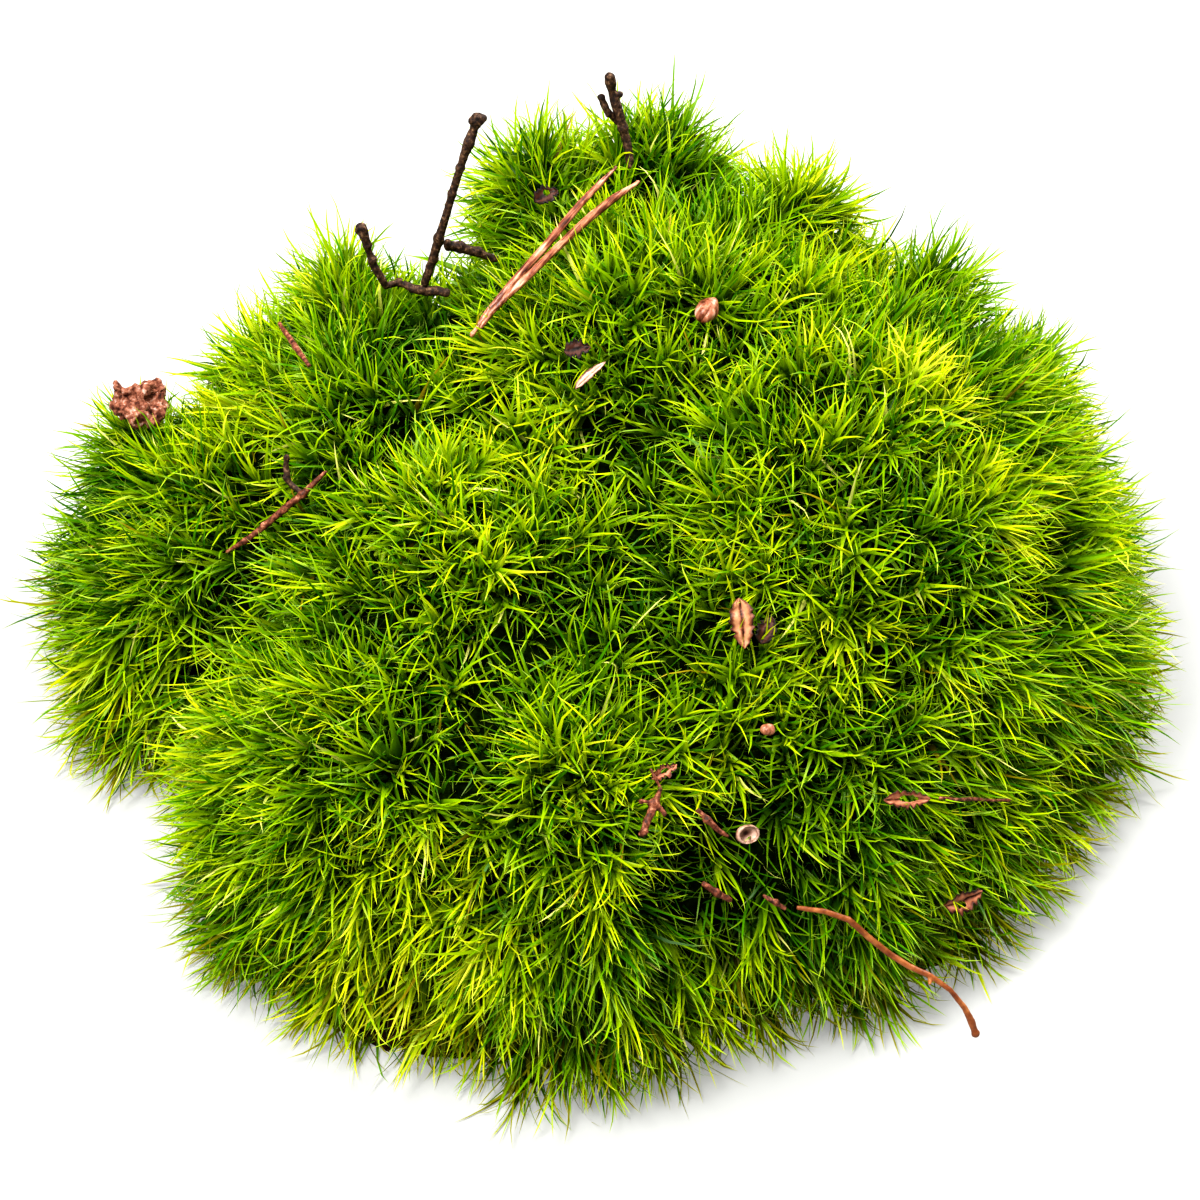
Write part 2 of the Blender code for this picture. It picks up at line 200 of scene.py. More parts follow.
def merged_copy(node, name):
    """A copy of a CAD node's shape as one closed mesh, free to be worked on."""
    piece = bpy.data.objects.new(name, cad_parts[node].data.copy())
    bpy.context.scene.collection.objects.link(piece)
    piece.data.materials.clear()
    select_only(piece)
    bpy.ops.object.mode_set(mode="EDIT")
    bpy.ops.mesh.select_all(action="SELECT")
    bpy.ops.mesh.remove_doubles(threshold=0.01 * MM)
    bpy.ops.mesh.normals_make_consistent(inside=False)
    bpy.ops.object.mode_set(mode="OBJECT")
    return piece


def dress(piece, finish, slot, *nodes):
    """Give a piece its finish, hang it under the root body and hide the CAD nodes it stands
    for. The slot is not used.
    """
    piece.data.materials.clear()
    piece.data.materials.append(finish)
    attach(piece, "root")
    if nodes:
        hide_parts(*nodes)


# ---------------------------------------------------------------- materials

# A Mix node set to colours takes them at these inputs and gives its colour there.
MIX_FIRST, MIX_SECOND, MIX_COLOUR = 6, 7, 2


def finish_named(name):
    """A new empty material: its node tree, its surface shader and its output."""
    made = bpy.data.materials.new(name)
    made.use_nodes = True
    tree = made.node_tree
    return made, tree, tree.nodes["Principled BSDF"], tree.nodes["Material Output"]


def node(tree, kind, settings=(), links=(), **sockets):
    """Add a node with its settings, its socket values and its links, and return it."""
    made = tree.nodes.new("ShaderNode" + kind)
    for name, value in dict(settings).items():
        setattr(made, name, value)
    for name, value in sockets.items():
        made.inputs[name.replace("_", " ")].default_value = value
    for socket, source in dict(links).items():
        tree.links.new(source, made.inputs[socket])
    return made


def ramp(tree, source, stops):
    """A colour ramp of (place, hex colour) stops, driven by a socket."""
    made = node(tree, "ValToRGB", links={"Fac": source})
    colours = made.color_ramp.elements
    while len(colours) < len(stops):
        colours.new(0.5)
    for element, (place, colour) in zip(colours, stops):
        element.position = place
        element.color = linear(colour)
    return made.outputs["Color"]


def moss_leaf():
    """Living moss leaf: one cell thick, so light shines through it, with a thin waxy skin that
    gives a small soft glint. The map's first axis runs from the leaf's base to its tip, and the
    second is its age and health, from withered brown to cream dry tips, which also carries
    painted shade and a painted highlight where leaves are moved along it. Towards its base a
    leaf takes darker colours than at its tip: partly its own deeper green, partly painted shade
    of the deep cushion."""
    made, tree, shader, output = finish_named("living moss leaf")
    leaf_map = node(tree, "UVMap", {"uv_map": "OFBake"})
    axes = node(tree, "SeparateXYZ", links={"Vector": leaf_map.outputs["UV"]})
    along, age = axes.outputs["X"], axes.outputs["Y"]
    # The base colours are darker than a leaf base's own green: painted shade of the deep
    # cushion. The ramp along the leaf mixes them into the tip colours by 70 per cent of its
    # length.
    base = ramp(tree, age, ((0.0, "#3A2A08"), (0.12, "#4A4A00"), (0.20, "#061200"),
                            (0.38, "#0E2A00"), (0.58, "#245200"), (0.80, "#5A8C00"),
                            (0.92, "#8AA000"), (1.0, "#C8BE60")))
    tip = ramp(tree, age, ((0.0, "#8A6A20"), (0.12, "#A8A010"), (0.20, "#244A00"),
                           (0.38, "#4A8200"), (0.58, "#9ABA00"), (0.80, "#D2D418"),
                           (0.92, "#E6E25A"), (1.0, "#F6F0C8")))
    fade = ramp(tree, along, ((0.05, "#000000"), (0.70, "#FFFFFF")))
    body = node(tree, "Mix", {"data_type": "RGBA"}, {"Factor": fade})
    tree.links.new(base, body.inputs[MIX_FIRST])
    tree.links.new(tip, body.inputs[MIX_SECOND])
    end = ramp(tree, along, ((0.80, "#000000"), (0.95, "#929292")))
    whole = node(tree, "Mix", {"data_type": "RGBA"}, {"Factor": end})
    tree.links.new(body.outputs[MIX_COLOUR], whole.inputs[MIX_FIRST])
    whole.inputs[MIX_SECOND].default_value = linear("#E2E47C")
    colour = whole.outputs[MIX_COLOUR]
    tree.links.new(colour, shader.inputs["Base Color"])
    shader.inputs["Roughness"].default_value = 0.34
    shader.inputs["Specular IOR Level"].default_value = 0.12
    through = node(tree, "BsdfTranslucent", links={"Color": colour})
    both = node(tree, "MixShader", Fac=0.33)
    tree.links.new(shader.outputs["BSDF"], both.inputs[1])
    tree.links.new(through.outputs["BSDF"], both.inputs[2])
    tree.links.new(both.outputs["Shader"], output.inputs["Surface"])
    return made


def mottled(name, hex_colours, grain_mm, roughness, bump_mm, stretch=(1, 1, 1), turn=(0, 0, 0),
            gloss=0.3):
    """A dry plant surface, blotched between its colours and rough with grain."""
    made, tree, shader, output = finish_named(name)
    place = node(tree, "TexCoord").outputs["Object"]
    laid = node(tree, "Mapping", links={"Vector": place}, Rotation=turn, Scale=stretch)
    grain = node(tree, "TexNoise", links={"Vector": laid.outputs["Vector"]},
                 Scale=1 / (grain_mm * MM), Detail=6.0, Roughness=0.65)
    stops = [(0.3 + 0.4 * i / (len(hex_colours) - 1), colour)
             for i, colour in enumerate(hex_colours)]
    tree.links.new(ramp(tree, grain.outputs["Fac"], stops), shader.inputs["Base Color"])
    shader.inputs["Roughness"].default_value = roughness
    shader.inputs["Specular IOR Level"].default_value = gloss
    relief = node(tree, "Bump", links={"Height": grain.outputs["Fac"]},
                  Strength=0.8, Distance=bump_mm * MM)
    tree.links.new(relief.outputs["Normal"], shader.inputs["Normal"])
    return made


# ---------------------------------------------------------------- moss

def leaf_blade():
    """One leaf, 1 long along +Y and 1 wide: a channelled blade, widest near its base and
    soon drawn out into a long fine awl. Returns its points and its triangles."""
    bpy.ops.object.select_all(action="DESELECT")
    bpy.ops.mesh.primitive_grid_add(x_subdivisions=2, y_subdivisions=len(BLADE_ROWS) - 1,
                                    size=1)
    blade = bpy.context.object
    for vertex in blade.data.vertices:
        row = round((vertex.co.y + 0.5) * (len(BLADE_ROWS) - 1))
        along, width, channel = BLADE_ROWS[row]
        depth = -channel if abs(vertex.co.x) < 0.01 else 0.0
        vertex.co = (vertex.co.x * max(width, 0.001), along, depth)
    bpy.ops.object.mode_set(mode="EDIT")
    bpy.ops.mesh.select_mode(type="VERT")
    for along, width, channel in BLADE_ROWS:
        bpy.ops.mesh.select_all(action="DESELECT")
        bpy.ops.object.mode_set(mode="OBJECT")
        for vertex in blade.data.vertices:
            vertex.select = (abs(vertex.co.y - along) < 0.001
                             and (width == 0 or (channel == 0 and abs(vertex.co.x) < 0.0001)))
        bpy.ops.object.mode_set(mode="EDIT")
        if width == 0:
            bpy.ops.mesh.merge(type="CENTER")
        elif channel == 0:
            bpy.ops.mesh.dissolve_verts()
    bpy.ops.mesh.select_all(action="SELECT")
    bpy.ops.mesh.quads_convert_to_tris()
    bpy.ops.object.mode_set(mode="OBJECT")
    points = np.array([vertex.co for vertex in blade.data.vertices])
    triangles = np.array([face.vertices for face in blade.data.polygons])
    bpy.data.objects.remove(blade, do_unlink=True)
    return points[:, (1, 0, 2)], triangles


def unit(rows):
    """Rows of vectors, each made one long."""
    return rows / np.maximum(np.linalg.norm(rows, axis=-1, keepdims=True), 1e-9)


def drift(places, size, seed):
    """A smooth field that changes over about this size: three numbers, -1 to 1, a place."""
    rng = np.random.default_rng(seed)
    total = np.zeros((len(places), 3))
    for wave in range(5):
        waves = unit(rng.normal(size=(3, 3))) * (2 * math.pi / size) * rng.uniform(0.6, 1.5)
        total += np.sin(places @ waves.T + rng.uniform(0, 2 * math.pi, 3))
    return np.clip(total / 2.4, -1, 1)


def whole_clump(name):
    """The moss and the mat under it as one smooth closed body, with no small cuts. Its
    walls run on straight below the ground, so that they stay upright where it stands."""
    mat = merged_copy("humus_mat", "mat")
    body = merged_copy("moss_cushion", name)
    select_only(body, mat)
    bpy.ops.object.join()
    for vertex in body.data.vertices:
        if vertex.co.z < FOOT:
            vertex.co.z = -BURIED
    add(body, "REMESH", mode="VOXEL", voxel_size=SKIN_VOXEL)
    add(body, "SMOOTH", factor=0.5, iterations=6)
    return body


def growing_skin():
    """The skin that the shoots grow from: its points, normals and triangles."""
    skin = whole_clump("growing skin")
    mesh = skin.data
    mesh.calc_loop_triangles()
    points = np.array([vertex.co for vertex in mesh.vertices])
    normals = np.array([vertex.normal for vertex in mesh.vertices])
    triangles = np.array([tri.vertices for tri in mesh.loop_triangles])
    bpy.data.objects.remove(skin, do_unlink=True)
    return points, normals, triangles


def spaced(skin, spacing, seed):
    """Places on the skin, no two closer than the spacing, with the skin's normals."""
    points, normals, triangles = skin
    rng = np.random.default_rng(seed)
    corners = points[triangles]
    areas = np.linalg.norm(np.cross(corners[:, 1] - corners[:, 0],
                                    corners[:, 2] - corners[:, 0]), axis=1) / 2
    tries = int(7 * areas.sum() / spacing ** 2)
    picked = rng.choice(len(triangles), tries, p=areas / areas.sum())
    shares = rng.dirichlet((1, 1, 1), tries)[:, :, None]
    places = (corners[picked] * shares).sum(axis=1)
    faces = unit((normals[triangles[picked]] * shares).sum(axis=1))
    kept = []
    taken = {}
    cells = np.floor(places / spacing).astype(int)
    for i, (cx, cy, cz) in enumerate(cells.tolist()):
        near = (taken.get((cx + a, cy + b, cz + c), ())
                for a in (-1, 0, 1) for b in (-1, 0, 1) for c in (-1, 0, 1))
        here = places[i]
        if all(np.dot(here - places[j], here - places[j]) > spacing ** 2
               for group in near for j in group):
            taken.setdefault((cx, cy, cz), []).append(i)
            kept.append(i)
    return places[kept], faces[kept]


def shoots(skin, spacing, depth, seed, tufts):
    """Where each shoot's apex is, which way it grows, and how sunken it is, 0 to 1."""
    places, faces = spaced(skin, spacing, seed)
    upright = faces[:, 2] > OVERHANG
    above = places[:, 2] > LOWEST_SHOOT
    places, faces = places[upright & above], faces[upright & above]
    rng = np.random.default_rng(seed + 1)
    apart = np.linalg.norm(places[:, None] - tufts[None], axis=2)
    nearest = np.argsort(apart, axis=1)[:, :2]
    rows = np.arange(len(places))
    first, second = apart[rows, nearest[:, 0]], apart[rows, nearest[:, 1]]
    seam = np.clip(1 - (second - first) / TUFT_SEAM, 0, 1)
    outward = places - tufts[nearest[:, 0]]
    outward -= faces * (outward * faces).sum(axis=1, keepdims=True)
    downhill = faces * faces[:, 2:3] - UP
    steep = np.clip((1 - faces[:, 2:3]) / 0.6, 0, 1)
    away = places * (1, 1, 0)
    rim = np.clip(np.linalg.norm(away, axis=1, keepdims=True) / RIM_RADIUS - 0.35, 0, 1)
    axis = unit(faces + (LEAN_FLAT + LEAN_STEEP * steep) * downhill
                + LEAN_RIM * rim * unit(away)
                + LEAN_TUFT * outward / (TUFT_SPACING / 2)
                + LEAN_DRIFT * drift(places, DRIFT_SIZE, seed + 2)
                + LEAN_STRAY * rng.normal(size=places.shape))
    axis = unit(np.column_stack((axis[:, :2], np.maximum(axis[:, 2], LOWEST_LEAN))))
    # Most shoots stand up to 2.2 mm proud, and a few stay as far as 2.3 mm behind.
    uneven = MM * (4.5 * rng.random(len(places)) ** 1.5 - 2.2)
    sunk = depth + SEAM_DEPTH * seam ** 2 + uneven
    # How much lighter each shoot's leaves are made: the moss's own tone, with painted shade
    # below zero in the hollows and a painted highlight on the ridge.
    lighter = np.zeros(len(places))
    for middle, reach, deeper, tone_and_painted_light in PLACES:
        far = np.linalg.norm(places - np.array(middle) * MM, axis=1) / (reach * MM)
        inside = np.clip(1.25 * (1 - far ** 2), 0, 1)
        sunk += deeper * MM * inside
        lighter += tone_and_painted_light * inside
    return (places - faces * sunk[:, None], axis, seam, lighter,
            np.maximum(steep, 0.8 * rim)[:, 0])


def whorls(apex, axis, steep, count, seed):
    """The leaves of every shoot: for each, its base, its way, the way it bows, its length,
    width, bow, sway and twist, how high on its shoot it stands, and its shoot."""
    rng = np.random.default_rng(seed)
    number = len(apex) * count
    shoot = np.repeat(np.arange(len(apex)), count)
    height = np.tile(np.linspace(0, 1, count), len(apex))
    side = unit(np.cross(axis, unit(rng.normal(size=axis.shape))))
    other = np.cross(axis, side)
    turn = (rng.uniform(0, 2 * math.pi, len(apex))[shoot]
            + np.tile(np.arange(count) * GOLDEN_ANGLE, len(apex))
            + rng.normal(0, 0.25, number))
    outward = side[shoot] * np.cos(turn)[:, None] + other[shoot] * np.sin(turn)[:, None]
    narrow = (1 - 0.5 * steep)[shoot]
    opening = (SPREAD_LOW - SPREAD_CLOSES * height ** 1.3) * narrow
    spread = np.radians(opening + rng.normal(0, 8, number))[:, None]
    way = axis[shoot] * np.cos(spread) + outward * np.sin(spread)
    back = outward * np.cos(spread) - axis[shoot] * np.sin(spread)
    roll = rng.normal(0, 0.9, number)[:, None]
    across = np.cross(way, back)
    bow_way = back * np.cos(roll) + across * np.sin(roll)
    base = apex[shoot] - axis[shoot] * (LEAFY_STEM * (1 - height))[:, None]
    size = (rng.uniform(0.78, 1.12, len(apex)) * (1 + 0.22 * steep))[shoot]
    length = LEAF_LENGTH * size * (1 - 0.40 * height ** 2) * rng.uniform(0.72, 1.12, number)
    width = LEAF_WIDTH * (0.8 + 0.35 * rng.random(number)) * (1 - 0.35 * height)
    bow = np.radians(rng.normal(BOW, BOW_SCATTER, number)) * (1 - 0.35 * steep)[shoot]
    sway = np.radians(rng.normal(0, SWAY_SCATTER, number))
    twist = rng.normal(0, 0.5, number)
    return base, way, bow_way, length, width, bow, sway, twist, height, shoot


def blades_along(blade, base, way, bow_way, length, width, bow, sway, twist):
    """Every leaf's points: copies of the blade, each bent along its own way, the more the
    nearer its tip."""
    rows, row = np.unique(np.round(blade[:, 0], 4), return_inverse=True)
    across, fold = blade[:, 1], blade[:, 2]
    side = np.cross(way, bow_way)

    def heading(along):
        """Where the leaf points at each of these shares of its length."""
        bend = (bow[:, None] * along ** 1.5)[..., None]
        veer = (sway[:, None] * along)[..., None]
        return ((way[:, None] * np.cos(bend) + bow_way[:, None] * np.sin(bend)) * np.cos(veer)
                + side[:, None] * np.sin(veer))

    steps = heading((rows[1:] + rows[:-1]) / 2) * (np.diff(rows) * length[:, None])[..., None]
    spine = np.concatenate((np.zeros_like(steps[:, :1]), np.cumsum(steps, axis=1)), axis=1)
    spine = (base[:, None] + spine)[:, row]
    onward = heading(rows)[:, row]
    flat = unit(side[:, None] - onward * (onward * side[:, None]).sum(axis=2, keepdims=True))
    up = np.cross(flat, onward)
    turned = (twist[:, None] * (0.4 + blade[None, :, 0]))[..., None]
    cross_way = flat * np.cos(turned) + up * np.sin(turned)
    fold_way = up * np.cos(turned) - flat * np.sin(turned)
    return (spine + cross_way * (across * width[:, None])[..., None]
            + fold_way * (fold * width[:, None])[..., None])


def leaf_mesh(name, points, triangles, leaf_map):
    """A mesh of many equal leaves, from their points, one blade's triangles and the map."""
    leaves, each = points.shape[:2]
    corners = (triangles[None] + (np.arange(leaves) * each)[:, None, None]).reshape(-1)
    mesh = bpy.data.meshes.new(name)
    mesh.vertices.add(leaves * each)
    mesh.vertices.foreach_set("co", points.reshape(-1).astype(np.float32))
    mesh.loops.add(len(corners))
    mesh.loops.foreach_set("vertex_index", corners.astype(np.int32))
    mesh.polygons.add(len(corners) // 3)
    mesh.polygons.foreach_set("loop_start", np.arange(0, len(corners), 3, dtype=np.int32))
    mesh.uv_layers.new(name="OFBake")
    mesh.uv_layers["OFBake"].data.foreach_set(
        "uv", leaf_map.reshape(-1, 2)[corners].reshape(-1).astype(np.float32))
    mesh.update(calc_edges=True)
    mesh.shade_smooth()
    piece = bpy.data.objects.new(name, mesh)
    bpy.context.scene.collection.objects.link(piece)
    return piece


def grow_moss():
    """All the shoots, as a few joined pieces of leaves."""
    blade, triangles = leaf_blade()
    skin = growing_skin()
    tufts, _ = spaced(skin, TUFT_SPACING, 5)
    parts = []
    # older is how much darker a kind of shoot's leaves are made: for the filler shoots, painted
    # shade under the crowns.
    for spacing, depth, count, older, seed in (
            (CROWN_SPACING, CROWN_DEPTH, CROWN_LEAVES, 0.0, 11),
            (FILLER_SPACING, FILLER_DEPTH, FILLER_LEAVES, FILLER_PAINTED_SHADE, 31)):
        apex, axis, seam, lighter, steep = shoots(skin, spacing, depth, seed, tufts)
        *leaves, height, shoot = whorls(apex, axis, steep, count, seed + 7)
        base = leaves[0]
        points = blades_along(blade, *leaves)
        rng = np.random.default_rng(seed + 9)
        by_lobe = 0.07 * drift(apex, 40 * MM, 3)[:, 0]
        by_tuft = 0.06 * drift(apex, 12 * MM, 4)[:, 0]
        # Painted shade: leaves in the seams between tufts, and those of the filler shoots, are
        # moved darker; lighter adds the places' shifts, with painted shade and a painted
        # highlight among them.
        age = (LIVING + by_lobe + by_tuft - SEAM_PAINTED_SHADE * seam + lighter - older)[shoot]
        age = age + TOP_LEAVES_YOUNGER * (height - 0.45) + rng.normal(0, 0.05, len(base))
        withered = rng.random(len(base))
        low = np.clip(1 - base[:, 2] / OLIVE_BELOW, 0, 1)
        age = np.where(rng.random(len(base)) < OLIVE_SHARE * low, OLIVE,
                       np.clip(age, *LIVING_RANGE))
        age = np.where(withered < CREAM_SHARE, CREAM,
                       np.where(withered > 1 - BROWN_SHARE, BROWN, age))
        parts.append((points, age))
    points = np.concatenate([part[0] for part in parts])
    age = np.concatenate([part[1] for part in parts])
    low = GROUND + TIP_SCATTER * np.random.default_rng(77).random(len(points))
    points[..., 2] = np.maximum(points[..., 2], low[:, None])
    leaf_map = np.empty(points.shape[:2] + (2,))
    leaf_map[..., 0] = 0.01 + 0.98 * blade[:, 0]
    leaf_map[..., 1] = 0.01 + 0.95 * age[:, None] + 0.03 * (blade[:, 1] + 0.5)
    turn = np.arctan2(points[:, 0, 1], points[:, 0, 0])
    order = np.argsort(turn, kind="stable")
    finish = moss_leaf()
    for i, chosen in enumerate(np.array_split(order, MOSS_PIECES)):
        piece = leaf_mesh(f"moss_shoots_{i + 1}", points[chosen], triangles, leaf_map[chosen])
        dress(piece, finish, "moss")


def old_growth():
    """The older growth that the living shoots stand on, deep in the cushion, coloured nearly
    black: painted shade over its own dark brown-green.
    """
    piece = whole_clump("moss_old_growth_painted_shade")
    add(piece, "SMOOTH", factor=0.5, iterations=10)
    add(piece, "DISPLACE", strength=-9.5 * MM, mid_level=0.0)
    add(piece, "DISPLACE", texture=clouds("old growth", 4 * MM), texture_coords="LOCAL",
        strength=2.4 * MM, mid_level=0.5)
    # Nearly black: painted shade of the deep cushion, over the older growth's own dark
    # brown-green.
    finish = mottled("old moss growth in painted shade", ("#040700", "#0E1A00", "#1E2C02"), 1.5, 0.95, 1.0,
                     gloss=0.0)
    select_only(piece)
    bpy.ops.object.mode_set(mode="EDIT")
    bpy.ops.mesh.select_all(action="SELECT")
    bpy.ops.mesh.bisect(plane_co=(0, 0, MM), plane_no=(0, 0, 1), use_fill=True,
                        clear_inner=True)
    bpy.ops.object.mode_set(mode="OBJECT")
    piece.data.shade_smooth()
    dress(piece, finish, "moss", "moss_cushion")


# ---------------------------------------------------------------- twigs and needles

def knob(middle, radii):
    """A small lump to join into a twig: middle and half-axes, or one radius, in mm."""
    radii = radii if isinstance(radii, tuple) else (radii,) * 3
    bpy.ops.mesh.primitive_uv_sphere_add(segments=16, ring_count=10, radius=MM,
                                         location=Vector(middle) * MM, scale=radii)
    bpy.ops.object.transform_apply(location=True, rotation=True, scale=True)
    return bpy.context.object


def link(start, end, radius):
    """A short round stick from one place to another, in mm."""
    start, end = Vector(start) * MM, Vector(end) * MM
    run = end - start
    bpy.ops.mesh.primitive_cylinder_add(
        vertices=14, radius=radius * MM, depth=run.length, location=(start + end) / 2,
        rotation=run.to_track_quat("Z", "Y").to_euler())
    bpy.ops.object.transform_apply(location=True, rotation=True, scale=True)
    return bpy.context.object


def stick(name, slot, finish, knobs=(), links=(), relief=0.25, grain=1.0, shift=None):
    """A CAD twig, needle or strand with its nodes, stubs and scars grown on, made one
    body, and its skin roughened. shift moves its points, for how it lies."""
    body = merged_copy(name, name + "_finished")
    if shift:
        for vertex in body.data.vertices:
            vertex.co += shift(vertex.co)
    bpy.ops.object.select_all(action="DESELECT")
    grown = [knob(*row) for row in knobs] + [link(*row) for row in links]
    select_only(body, *grown)
    if grown:
        bpy.ops.object.join()
    add(body, "REMESH", mode="VOXEL", voxel_size=STICK_VOXEL)
    add(body, "SMOOTH", factor=0.5, iterations=4)
    add(body, "DISPLACE", texture=clouds(name, grain * MM, 3), texture_coords="LOCAL",
        strength=relief * MM, mid_level=0.45)
    body.data.shade_smooth()
    dress(body, finish, slot, name)


def twig_bark():
    """Weathered twig bark, nearly black in its cracks, with grey-brown worn ridges."""
    return mottled("weathered twig bark", ("#0A0502", "#22120A", "#46301F", "#84684E"), 0.7,
                   0.7, 0.2, gloss=0.3)


def dry_stem():
    """Dry woody stem: red-brown skin, worn paler, with dark scars."""
    return mottled("dry woody stem", ("#1E0A05", "#4A2416", "#7C4832", "#B48468"), 0.8, 0.6,
                   0.12)


def pine_needle():
    """Dry pine needle: tan to red-brown, a satin skin with fine dark grooves along it."""
    made, tree, shader, output = finish_named("dry pine needle")
    place = node(tree, "TexCoord").outputs["Object"]
    # The needles run 48 degrees round on the ground plan and 25 up: turn that way onto X.
    lie = node(tree, "Mapping", links={"Vector": place},
               Rotation=(0, math.radians(25), math.radians(-48)))
    grooves = node(tree, "Mapping", links={"Vector": lie.outputs["Vector"]},
                   Scale=(0.06, 1, 1))
    fibre = node(tree, "TexNoise", links={"Vector": grooves.outputs["Vector"]},
                 Scale=1 / (0.35 * MM), Detail=4.0, Roughness=0.6)
    blotch = node(tree, "TexNoise", links={"Vector": place}, Scale=1 / (3.0 * MM),
                  Detail=3.0)
    both = node(tree, "Mix", {"data_type": "FLOAT"}, {"A": fibre.outputs["Fac"],
                                                     "B": blotch.outputs["Fac"]},
                Factor=0.45)
    colour = ramp(tree, both.outputs["Result"], (
        (0.36, "#2E1209"), (0.45, "#6C3824"), (0.53, "#9E664A"), (0.66, "#D4A488")))
    tree.links.new(colour, shader.inputs["Base Color"])
    shader.inputs["Roughness"].default_value = 0.42
    relief = node(tree, "Bump", links={"Height": fibre.outputs["Fac"]}, Strength=0.7,
                  Distance=0.15 * MM)
    tree.links.new(relief.outputs["Normal"], shader.inputs["Normal"])
    return made


def twigs():
    """The bare twigs, the brown stems, the two pine needles and the long strand."""
    dark, brown, needle = twig_bark(), dry_stem(), pine_needle()
    straw = mottled("dry moss stalk", ("#562812", "#7E4824", "#A26C3E"), 2.2, 0.45, 0.05)

    stick("tall_twig", "dark_twig", dark, (
        ((-20.3, 49.5, 87.0), (1.35, 1.2, 0.75)), ((-19.4, 49.6, 87.2), 0.7),
        ((-21.2, 49.1, 87.1), 0.75), ((-21.9, 48.2, 83.0), (1.0, 1.0, 1.4)),
        ((-23.4, 47.2, 78.6), 0.9), ((-24.9, 46.1, 73.9), 0.85),
        ((-27.4, 44.2, 65.4), (1.0, 1.0, 1.6)), ((-28.4, 43.5, 61.6), 0.95)))
    stick("short_twig", "dark_twig", dark, (
        ((-40.4, 44.0, 68.2), (1.05, 1.0, 0.85)), ((-40.9, 44.1, 67.5), 0.7),
        ((-39.5, 43.3, 64.9), 0.85), ((-38.8, 42.8, 62.0), 0.9)),
        (((-37.2, 42.1, 58.0), (-36.6, 42.3, 56.4), 0.65),))
    stick("creeping_twig", "dark_twig", dark, (
        ((-34.4, 44.0, 55.9), 0.85), ((-30.2, 42.4, 55.6), (1.2, 0.9, 0.9)),
        ((-26.4, 41.5, 55.8), 0.8)), relief=0.35)
    stick("twig_stub", "dark_twig", dark, (
        ((-26.0, 46.6, 62.1), (0.7, 1.0, 1.1)), ((-24.0, 47.1, 61.2), 1.1),
        ((-21.0, 47.4, 59.9), 0.95)), relief=0.4)
    stick("crest_twig", "dark_twig", dark, (
        ((1.7, 72.0, 78.2), (0.95, 0.95, 0.9)), ((3.4, 71.3, 75.0), (0.7, 0.6, 0.6)),
        ((3.0, 70.4, 72.8), (0.9, 0.9, 1.4)), ((4.0, 69.0, 69.4), 1.05)))
    stick("crest_twig_spur", "dark_twig", dark, (
        ((0.2, 70.8, 74.8), (0.75, 0.7, 0.55)), ((0.9, 70.1, 73.2), 0.7)),
        (((1.2, 69.8, 72.6), (3.2, 69.8, 70.0), 0.6),))

    stick("side_twig", "brown_twig", brown, (((-51.2, 26.0, 57.6), 0.65),))
    stick("forked_twiglet", "brown_twig", brown, (
        ((-48.6, -2.4, 50.9), (0.85, 0.75, 0.75)), ((-55.2, -4.0, 45.2), 0.72),
        ((-51.8, -3.1, 48.1), 0.74), ((-58.6, -4.8, 42.4), 0.62)), relief=0.18)
    stick("twiglet_spur", "brown_twig", dark, (
        ((-51.2, 1.7, 55.2), (0.6, 0.55, 0.75)), ((-51.3, 0.0, 52.2), 0.65)),
        (((-50.4, -0.8, 51.3), (-48.6, -2.3, 50.9), 0.5),))
    stick("broken_stem", "brown_twig", brown, (
        ((8.2, -65.0, 47.4), 0.9), ((6.6, -68.6, 45.2), 0.7)), (
        ((8.2, -65.0, 47.4), (6.0, -65.4, 48.6), 0.4),
        ((8.4, -64.8, 47.5), (10.0, -66.4, 46.2), 0.4),
        ((9.2, -62.8, 48.5), (7.6, -60.6, 50.6), 0.28)), relief=0.4)
    stick("scrap_stalk", "brown_twig", brown, (((16.4, -63.8, 42.1), 0.75),), relief=0.3)
    stick("skeleton_leaf_stalk", "brown_twig", brown, (((64.6, -49.7, 29.9), 0.42),))
    stick("strand_middle", "brown_twig", brown, (((27.0, -71.2, 31.1), 0.6),), relief=0.3)

    stick("left_pine_needle", "pine_needle", needle, (
        ((2.6, 54.6, 72.5), (0.35, 0.5, 0.35)), ((-21.3, 26.0, 60.4), 0.5)), relief=0.12)
    # The lower half of the right needle lies against the left one.
    stick("right_pine_needle", "pine_needle", needle, (((6.4, 50.7, 72.6), 0.38),),
          relief=0.12, shift=lambda place: Vector((-1.3, 0.7, 0.1)) * MM
          * min(1.0, max(0.0, (2 * MM - place.x) / (16 * MM))))
    stick("long_strand", "straw_strand", straw, (
        ((58.8, -80.4, 9.7), (0.75, 0.6, 0.9)), ((51.2, -77.0, 18.6), (0.35, 0.7, 0.35))),
        relief=0.1)
    stick("strand_end", "straw_strand", brown, (((17.9, -71.4, 33.9), 0.75),), relief=0.3)


# ---------------------------------------------------------------- leaf scraps

